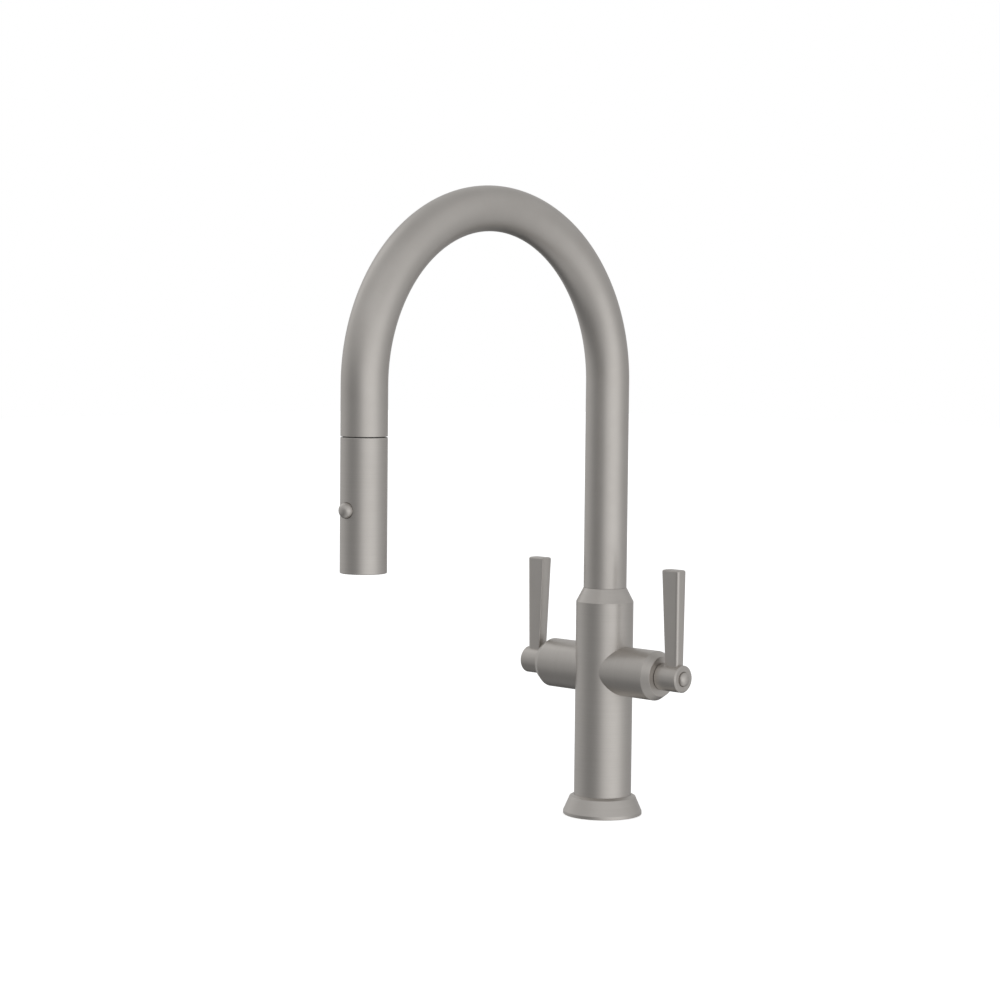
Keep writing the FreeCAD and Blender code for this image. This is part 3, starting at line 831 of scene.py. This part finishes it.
VIEW_AZIMUTH = math.radians(44.127)
VIEW_PITCH = math.radians(3.907)
VIEW_ROLL = math.radians(0.551)
CAMERA_AZIMUTH = math.radians(41.721)
CAMERA_DISTANCE = 1.6789
CAMERA_HEIGHT = 0.3240
CAMERA_LENS = 91.135


def make_camera():
    """A camera to the right of the spout's front, looking slightly down."""
    back = Vector((math.sin(VIEW_AZIMUTH) * math.cos(VIEW_PITCH),
                   -math.cos(VIEW_AZIMUTH) * math.cos(VIEW_PITCH), math.sin(VIEW_PITCH)))
    level = Vector((math.cos(VIEW_AZIMUTH), math.sin(VIEW_AZIMUTH), 0))
    upright = back.cross(level)
    right = math.cos(VIEW_ROLL) * level + math.sin(VIEW_ROLL) * upright
    up = math.cos(VIEW_ROLL) * upright - math.sin(VIEW_ROLL) * level
    data = bpy.data.cameras.new("camera")
    data.lens = CAMERA_LENS
    data.sensor_width = 36
    data.clip_end = 100
    camera = bpy.data.objects.new("camera", data)
    place = Vector((CAMERA_DISTANCE * math.sin(CAMERA_AZIMUTH),
                    -CAMERA_DISTANCE * math.cos(CAMERA_AZIMUTH), CAMERA_HEIGHT))
    camera.matrix_world = Matrix.Translation(place) @ Matrix((right, up, back)).transposed().to_4x4()
    bpy.context.scene.collection.objects.link(camera)
    bpy.context.scene.camera = camera


# The studio's brightness, all round: degrees to the right of the view's direction, and radiance.
# The panels stand at the horizon, the canopy above them and the low ring below.
PANEL_RING = ((-180, 0.60), (-150, 0.60), (-112, 0.60), (-88, 0.45), (-66, 0.28), (-42, 0.25),
              (-22, 0.35), (-4, 0.79), (12, 1.03), (40, 1.11), (60, 0.96), (82, 0.61), (104, 0.49),
              (130, 0.46), (155, 0.52), (180, 0.60))
CANOPY_RING = ((-180, 0.62), (-155, 0.58), (-130, 1.00), (-106, 0.62), (-80, 0.60), (-10, 0.74),
               (40, 0.68), (90, 0.62), (150, 0.52), (180, 0.62))
LOW_RING = ((-180, 0.06), (-123, 0.20), (-60, 0.24), (-10, 0.46), (48, 0.76), (100, 0.54),
            (150, 0.24), (180, 0.06))
ZENITH = 0.50
UNDERFOOT = 0.54

# Where one gives way to the next, as the sine of the angle above or below the horizon
PANELS_TO_CANOPY = (-0.01, 0.50)
CANOPY_TO_ZENITH = (0.72, 1.00)
PANELS_TO_LOW_RING = (0.08, 0.55)
LOW_RING_TO_UNDERFOOT = (0.72, 1.00)


def make_studio_light():
    """Soft panels all round the tap, and plain white wherever the camera looks past it."""
    world = bpy.data.worlds.new("studio")
    bpy.context.scene.world = world
    world.use_nodes = True
    world.node_tree.nodes.clear()
    sky = Nodes(world.node_tree)

    def level(value, start, end):
        node = sky.add("ShaderNodeMapRange", interpolation_type="SMOOTHSTEP")
        node.inputs["From Min"].default_value = start
        node.inputs["From Max"].default_value = end
        sky.link(value, node.inputs["Value"])
        return node.outputs["Result"]

    def mix(share, a, b):
        node = sky.add("ShaderNodeMix", data_type="FLOAT")
        for value, socket in zip((share, a, b), (node.inputs[0], node.inputs[2], node.inputs[3])):
            sky.feed(value, socket)
        return node.outputs[0]

    split = sky.add("ShaderNodeSeparateXYZ")
    sky.link(sky.add("ShaderNodeTexCoord").outputs["Generated"], split.inputs["Vector"])
    ahead = sky.math("MULTIPLY", split.outputs["Y"], -1.0)
    bearing = sky.math("ARCTAN2", split.outputs["X"], ahead)
    turn = sky.math("DIVIDE", sky.math("SUBTRACT", bearing, VIEW_AZIMUTH), TAU)
    turn = sky.math("FRACT", sky.math("ADD", turn, 1.5))  # the view's direction is in the middle

    def ring(listed):
        ramp = sky.add("ShaderNodeValToRGB")
        stops = ramp.color_ramp.elements
        for k, (degrees, radiance) in enumerate(listed):
            stop = stops[k] if k < 2 else stops.new(1.0)
            stop.position = (degrees + 180) / 360
            stop.color = (radiance, radiance, radiance, 1)
        ramp.color_ramp.interpolation = "EASE"
        sky.link(turn, ramp.inputs["Fac"])
        return ramp.outputs["Color"]

    height = split.outputs["Z"]
    depth = sky.math("MULTIPLY", height, -1.0)
    light = mix(level(height, *PANELS_TO_CANOPY), ring(PANEL_RING), ring(CANOPY_RING))
    light = mix(level(height, *CANOPY_TO_ZENITH), light, ZENITH)
    light = mix(level(depth, *PANELS_TO_LOW_RING), light, ring(LOW_RING))
    light = mix(level(depth, *LOW_RING_TO_UNDERFOOT), light, UNDERFOOT)
    seen = sky.add("ShaderNodeLightPath").outputs["Is Camera Ray"]
    background = sky.add("ShaderNodeBackground")
    background.inputs["Color"].default_value = (1, 1, 1, 1)
    sky.link(mix(seen, light, 1.0), background.inputs["Strength"])
    output = sky.add("ShaderNodeOutputWorld")
    sky.link(background.outputs["Background"], output.inputs["Surface"])


def make_floor():
    """A wide pale floor just below the flange, at the height of the deck."""
    half, z = 6.0, -0.3 * MM
    corners = [(-half, -half, z), (half, -half, z), (half, half, z), (-half, half, z)]
    floor = loose_object("floor", mesh_from("floor", corners, [(0, 1, 2, 3)]))
    pale = Finish("pale_floor")
    pale.shader.inputs["Base Color"].default_value = (0.9, 0.9, 0.9, 1)
    pale.shader.inputs["Roughness"].default_value = 0.9
    pale.shader.inputs["Emission Color"].default_value = (1, 1, 1, 1)
    pale.shader.inputs["Emission Strength"].default_value = 0.62
    floor.data.materials.append(pale.material)
    floor.visible_glossy = False


make_camera()
make_studio_light()
make_floor()
dress_cad_nodes()
make_base_flange()
make_column()
make_spout()
make_hose()
make_spray_shell()
make_button()
make_collar()
make_spring()
make_outlet_rings()
make_shank()
make_washers()
make_nut()
make_screws()
make_nipples()
for side_name, side_sign in SIDES.items():
    make_bonnet(side_name, side_sign)
    make_lever(side_name, side_sign)
    make_cap_screw(side_name, side_sign)
bpy.context.scene.view_settings.view_transform = "Standard"
